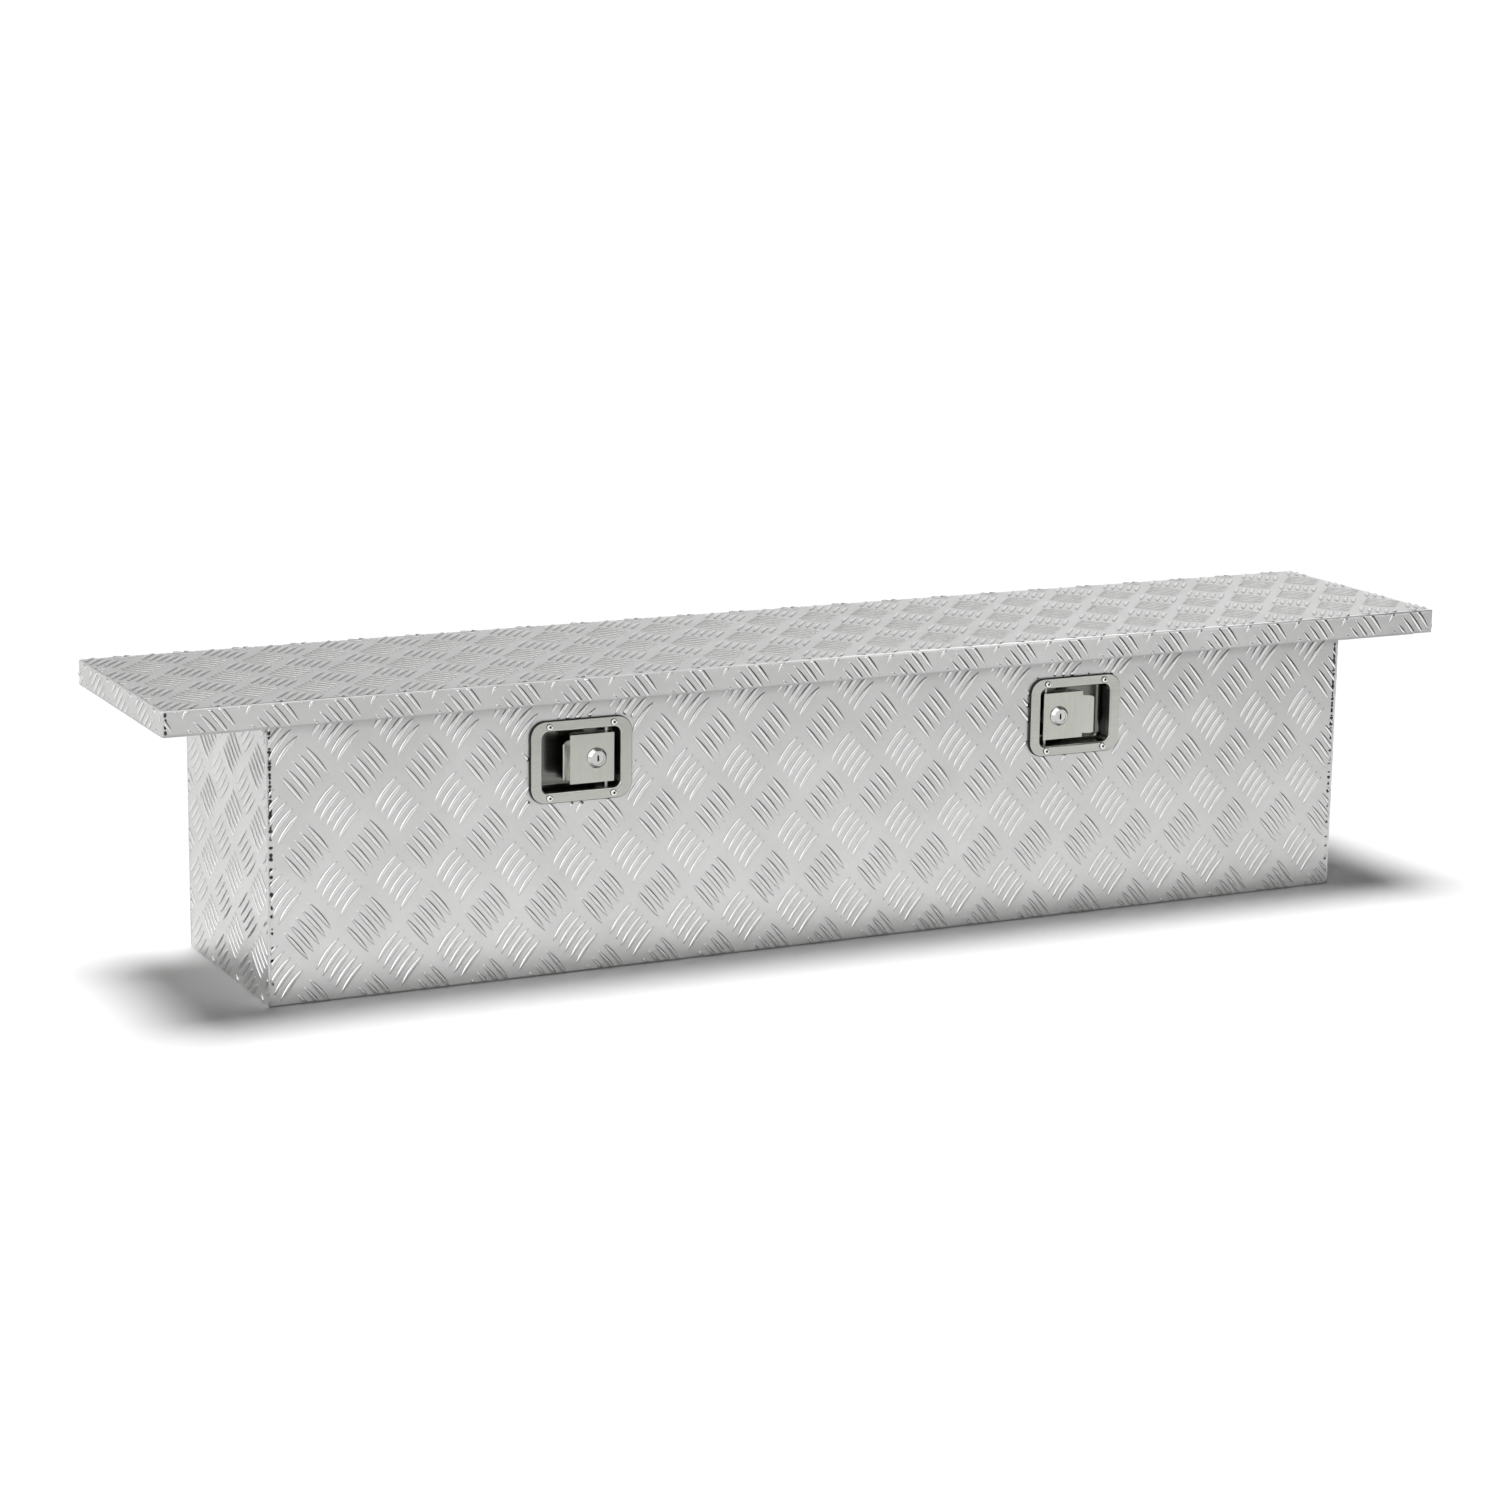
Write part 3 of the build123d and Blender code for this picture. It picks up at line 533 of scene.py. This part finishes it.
class Face:
    """A flat panel to cover: p and q run along it, and h stands out of it."""

    def __init__(self, origin, along, up, limits, holes=()):
        self.origin = Vector(origin)
        self.along = Vector(along)
        self.up = Vector(up)
        self.out = self.along.cross(self.up)
        self.limits = limits
        self.holes = holes

    def place(self, p, q, h):
        """The point p along, q up and h out of the face."""
        return self.origin + self.along * p + self.up * q + self.out * h

    def free(self, p, q):
        """Whether a point is clear of the face's holes."""
        return not any(low_p < p < high_p and low_q < q < high_q
                       for low_p, high_p, low_q, high_q in self.holes)


def bar_line(centre, lean, bow):
    """Points and half-widths along one bar's middle, from tip to tip."""
    way = Vector((math.cos(lean), math.sin(lean)))
    side = Vector((-way.y, way.x))
    line = []
    for step in range(BAR_STEPS + 1):
        t = 2 * step / BAR_STEPS - 1
        point = centre + way * (t * BAR_LENGTH / 2) + side * (bow * (0.5 - t * t))
        swell = (1 - abs(t) ** TAPER[0]) ** TAPER[1]
        line.append((point, side, swell))
    return line


def bar_row(bm, face, point, side, swell):
    """One row of vertices across a bar."""
    shoulder = bm.verts.layers.float["shoulder"]
    foot = bm.verts.layers.float["foot"]
    row = []
    for across, height in SECTION:
        spot = point + side * (across * BAR_HALF_WIDTH * max(swell, TIP))
        rise = height * BAR_HEIGHT * max(swell, TIP) ** RISE_POWER
        corner = bm.verts.new(face.place(spot.x, spot.y, rise))
        # The shoulder mask places the bars' painted light and the foot mask their painted shade.
        corner[shoulder] = min(1.0, max(0.0, (abs(across) - SHOULDER_START) / SHOULDER_SPAN))
        corner[foot] = 1.0 if height == 0 else 0.0
        row.append(corner)
    return row


def add_bar(bm, face, centre, lean, bow):
    """Add the parts of one bar that lie clear of the face's holes."""
    rows = []
    for point, side, swell in bar_line(centre, lean, bow):
        if face.free(*point):
            rows.append(bar_row(bm, face, point, side, swell))
        else:
            close_bar(bm, rows)
            rows = []
    close_bar(bm, rows)


def add_layers(bm):
    """Room for each vertex's place on its bar: shoulder and foot, each 0 to 1."""
    for layer in ("shoulder", "foot"):
        bm.verts.layers.float.new(layer)


def close_bar(bm, rows):
    """Skin the rows of one bar, with its underside and its two ends."""
    if len(rows) < 2:
        return
    last = len(SECTION) - 1
    for row, following in zip(rows, rows[1:]):
        for n in range(last):
            bm.faces.new((row[n], following[n], following[n + 1], row[n + 1]))
        bm.faces.new((row[last], following[last], following[0], row[0]))
    bm.faces.new(rows[0])
    bm.faces.new(reversed(rows[-1]))


def cover(bm, face, start, cell, turned, skew):
    """Cover a face with groups. start is the middle of one falling group."""
    low_p, high_p, low_q, high_q = face.limits
    turn = Matrix.Rotation(skew, 2)
    across = int((high_p - low_p) / cell[0]) + 3
    upward = int((high_q - low_q) / cell[1]) + 3
    first_p = math.floor((low_p - start[0]) / cell[0]) - 1
    first_q = math.floor((low_q - start[1]) / cell[1]) - 1
    quarter = math.radians(90) if turned else 0.0
    reach = BAR_LENGTH / 2
    for i in range(across):
        for j in range(upward):
            for falling in (True, False):
                half = 0.0 if falling else 0.5
                shift = Vector(((first_p + i + half) * cell[0], (first_q + j + half) * cell[1]))
                middle = Vector(start) + turn @ shift
                sign = -1 if falling else 1
                lean = sign * BAR_LEAN + skew
                stack = -sign * STACK_LEAN + skew
                bow = FALLING_BOW if falling else RISING_BOW
                if turned:
                    lean, stack = lean + quarter, stack + quarter
                for n in range(BARS_IN_GROUP):
                    away = (n - (BARS_IN_GROUP - 1) / 2) * STACK_PITCH
                    centre = middle + Vector((math.cos(stack), math.sin(stack))) * away
                    inside = (low_p - reach < centre.x < high_p + reach
                              and low_q - reach < centre.y < high_q + reach)
                    if inside:
                        add_bar(bm, face, centre, lean, bow)


def trim(bm, face):
    """Cut the bars off at the face's four edges and close the cuts."""
    low_p, high_p, low_q, high_q = face.limits
    cuts = (
        (face.place(low_p, 0, 0), -face.along),
        (face.place(high_p, 0, 0), face.along),
        (face.place(0, low_q, 0), -face.up),
        (face.place(0, high_q, 0), face.up),
    )
    for spot, outward in cuts:
        everything = bm.verts[:] + bm.edges[:] + bm.faces[:]
        made = bmesh.ops.bisect_plane(bm, geom=everything, plane_co=spot, plane_no=outward,
                                      clear_outer=True)
        rim = [e for e in made["geom_cut"] if isinstance(e, bmesh.types.BMEdge)]
        bmesh.ops.holes_fill(bm, edges=rim, sides=0)


def tread(name, body, faces, material):
    """One object with the bars of several faces. faces are (face, start, cell, turned, skew)."""
    whole = bmesh.new()
    add_layers(whole)
    for face, *pattern in faces:
        bm = bmesh.new()
        add_layers(bm)
        cover(bm, face, *pattern)
        trim(bm, face)
        mesh = bpy.data.meshes.new(name + "_face")
        bm.to_mesh(mesh)
        bm.free()
        whole.from_mesh(mesh)
        bpy.data.meshes.remove(mesh)
    finish_piece(whole, name, body, material)


def make_tread(materials):
    """Bars on the body's front, back and ends, and on the lid's top and skirts."""
    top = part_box("body_wrap")[1].z - 2 * MM
    across = (-body_half + EDGE, body_half - EDGE)
    latch_holes = []
    for side in SIDES:
        low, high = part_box("latch_gasket_" + side)
        latch_holes.append((low.x + GASKET_LAP, high.x - GASKET_LAP,
                            low.z + GASKET_LAP, high.z - GASKET_LAP))
    front = Face((0, front_y, 0), (1, 0, 0), (0, 0, 1), (*across, EDGE, top), latch_holes)
    tread("tread_front", "body", [(front, FRONT_START, CELL, False, FRONT_SKEW)],
          materials["bars"])
    low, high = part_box("hinge_body_leaf")
    hinge_hole = (low.x - 1 * MM, high.x + 1 * MM, low.z + 0.5 * MM, high.z + 1 * MM)
    back = Face((0, back_y, 0), (-1, 0, 0), (0, 0, 1), (*across, EDGE, top), [hinge_hole])
    tread("tread_back", "body", [(back, BACK_START, CELL, False, 0.0)], materials["bars"])
    for side, sign in zip(SIDES, (-1, 1)):
        near, far = sorted((sign * front_y, sign * back_y))
        face = Face((sign * body_half, 0, 0), (0, sign, 0), (0, 0, 1),
                    (near + EDGE, far - EDGE, EDGE, WING_UNDERSIDE - EDGE))
        start = (sign * END_START[0], END_START[1])
        tread("tread_end_" + side, "body", [(face, start, TALL_CELL, True, 0.0)],
              materials["end_bars"])
    make_lid_tread(materials)


def make_lid_tread(materials):
    """The lid's pattern, which runs on from its top down its skirts."""
    top, half_x, half_y = lid_high.z, lid_high.x, lid_high.y
    skirt = lid_high.z - lid_low.z
    along = (-half_x + LID_EDGE, half_x - LID_EDGE)
    deep = (-half_y + LID_EDGE, half_y - LID_EDGE)
    long_drop = (-half_y - skirt + LID_EDGE, -half_y - LID_EDGE)
    short_drop = (-half_x - skirt + LID_EDGE, -half_x - LID_EDGE)
    start_x, start_y = LID_START
    lid_top = Face((0, 0, top), (1, 0, 0), (0, 1, 0), (*along, *deep))
    front = Face((0, -half_y, top + half_y), (1, 0, 0), (0, 0, 1), (*along, *long_drop))
    back = Face((0, half_y, top + half_y), (-1, 0, 0), (0, 0, 1), (*along, *long_drop))
    left = Face((-half_x, 0, top + half_x), (0, -1, 0), (0, 0, 1), (*deep, *short_drop))
    right = Face((half_x, 0, top + half_x), (0, 1, 0), (0, 0, 1), (*deep, *short_drop))
    tread("tread_lid", "lid", [(lid_top, LID_START, CELL, False, 0.0)], materials["lid_bars"])
    tread("tread_skirts", "lid", [
        (front, LID_START, CELL, False, 0.0),
        (back, (-start_x, start_y), CELL, False, 0.0),
        (left, (-start_y, start_x), TALL_CELL, True, 0.0),
        (right, (start_y, start_x), TALL_CELL, True, 0.0),
    ], materials["skirt_bars"])


# ---------------------------------------------------------------- seams
BEAD_RADIUS = 1.5 * MM
BEAD_SIDES = 8
RING_PITCH = 4 * MM
GAP_SIDES = 6
SEAM_INSET = 4.5 * MM  # from a corner to the middle of its open spots
# How many open spots there are between two heights of a corner, as shares of the seam.
SPOT_RUNS = ((30, 0.60, 0.99), (12, 0.25, 0.60), (4, 0.06, 0.22))


def bead(name, body, foot, head, radius, material):
    """A slightly uneven weld bead along a corner, from foot to head."""
    foot, head = Vector(foot), Vector(head)
    way = (head - foot).normalized()
    first = way.orthogonal().normalized()
    second = way.cross(first)
    rings = int((head - foot).length / RING_PITCH)
    chance = Random(name)
    bm = bmesh.new()
    loops = []
    for n in range(rings + 1):
        middle = foot.lerp(head, n / rings)
        swell = radius * chance.uniform(0.88, 1.08)
        loop = []
        for k in range(BEAD_SIDES):
            turn = 2 * math.pi * k / BEAD_SIDES
            spoke = first * math.cos(turn) + second * math.sin(turn)
            loop.append(bm.verts.new(middle + spoke * swell))
        loops.append(loop)
    for low, high in zip(loops, loops[1:]):
        for k in range(BEAD_SIDES):
            m = (k + 1) % BEAD_SIDES
            bm.faces.new((low[k], low[m], high[m], high[k]))
    bm.faces.new(reversed(loops[0]))
    bm.faces.new(loops[-1])
    finish_piece(bm, name, body, material)


def gaps(name, body, foot, head, outward, spots, material):
    """Open spots along a seam, drawn as black discs of painted shade. spots are (share of the way
    up, length, width).
    """
    foot, head, outward = Vector(foot), Vector(head), Vector(outward)
    way = (head - foot).normalized()
    side = way.cross(outward)
    bm = bmesh.new()
    chance = Random(name)
    for share, length, width in spots:
        middle = foot.lerp(head, share)
        under, over = [], []
        for n in range(GAP_SIDES):
            turn = 2 * math.pi * n / GAP_SIDES
            reach = chance.uniform(0.8, 1.15)
            spot = (middle + way * (math.cos(turn) * length / 2 * reach)
                    + side * (math.sin(turn) * width / 2 * reach))
            under.append(bm.verts.new(spot - outward * 0.1 * MM))
            over.append(bm.verts.new(spot + outward * 0.25 * MM))
        bm.faces.new(over)
        bm.faces.new(reversed(under))
        for n in range(GAP_SIDES):
            m = (n + 1) % GAP_SIDES
            bm.faces.new((under[n], under[m], over[m], over[n]))
    finish_piece(bm, name, body, material)


def seam_spots(name, count, low, high):
    """Irregular spots between two shares of a seam's length."""
    chance = Random(name)
    spots = []
    for n in range(count):
        share = low + (high - low) * (n + chance.uniform(0.15, 0.85)) / count
        spots.append((share, chance.uniform(2.2, 7.0) * MM, chance.uniform(2.8, 5.6) * MM))
    return spots


def make_seams(materials):
    """Weld beads down the body's corners, with open spots beside them and at the lid's corner,
    drawn as black discs of painted shade.
    """
    inset = 0.6 * MM
    for side, sign in zip(SIDES, (-1, 1)):
        for place, y, outward in (("front", front_y, -1), ("back", back_y, 1)):
            name = f"corner_bead_{place}_{side}"
            x = sign * (body_half - inset)
            middle_y = y - outward * inset
            bead(name, "body", (x, middle_y, EDGE), (x, middle_y, WING_UNDERSIDE - 1 * MM),
                 BEAD_RADIUS, materials["sheet"])
            seam_x = sign * (body_half - SEAM_INSET)
            spots = [spot for run in SPOT_RUNS for spot in seam_spots(name, *run)]
            # Black rubber discs as painted shade in the seam's open spots.
            gaps(f"corner_gaps_{place}_{side}", "body", (seam_x, y, 0),
                 (seam_x, y, WING_UNDERSIDE), (0, outward, 0), spots, materials["seal"])
    corner_x = lid_low.x + SEAM_INSET
    slots = [(share, 6.0 * MM, 3.8 * MM) for share in (0.16, 0.38, 0.62, 0.84)]
    # Black rubber discs as painted shade in the lid corner's open spots.
    gaps("lid_corner_gaps", "lid", (corner_x, lid_low.y, lid_low.z),
         (corner_x, lid_low.y, lid_high.z), (0, -1, 0), slots, materials["seal"])


# ---------------------------------------------------------------- put it together
make_camera()
make_studio()
materials = make_materials()
dress_cad(materials)
for side in SIDES:
    soften_edges("latch_dish_" + side, 0.9 * MM, 3)
    soften_edges("latch_paddle_" + side, 0.7 * MM, 3)
    soften_edges("lock_barrel_" + side, 0.5 * MM, 2)
make_tread(materials)
make_seams(materials)
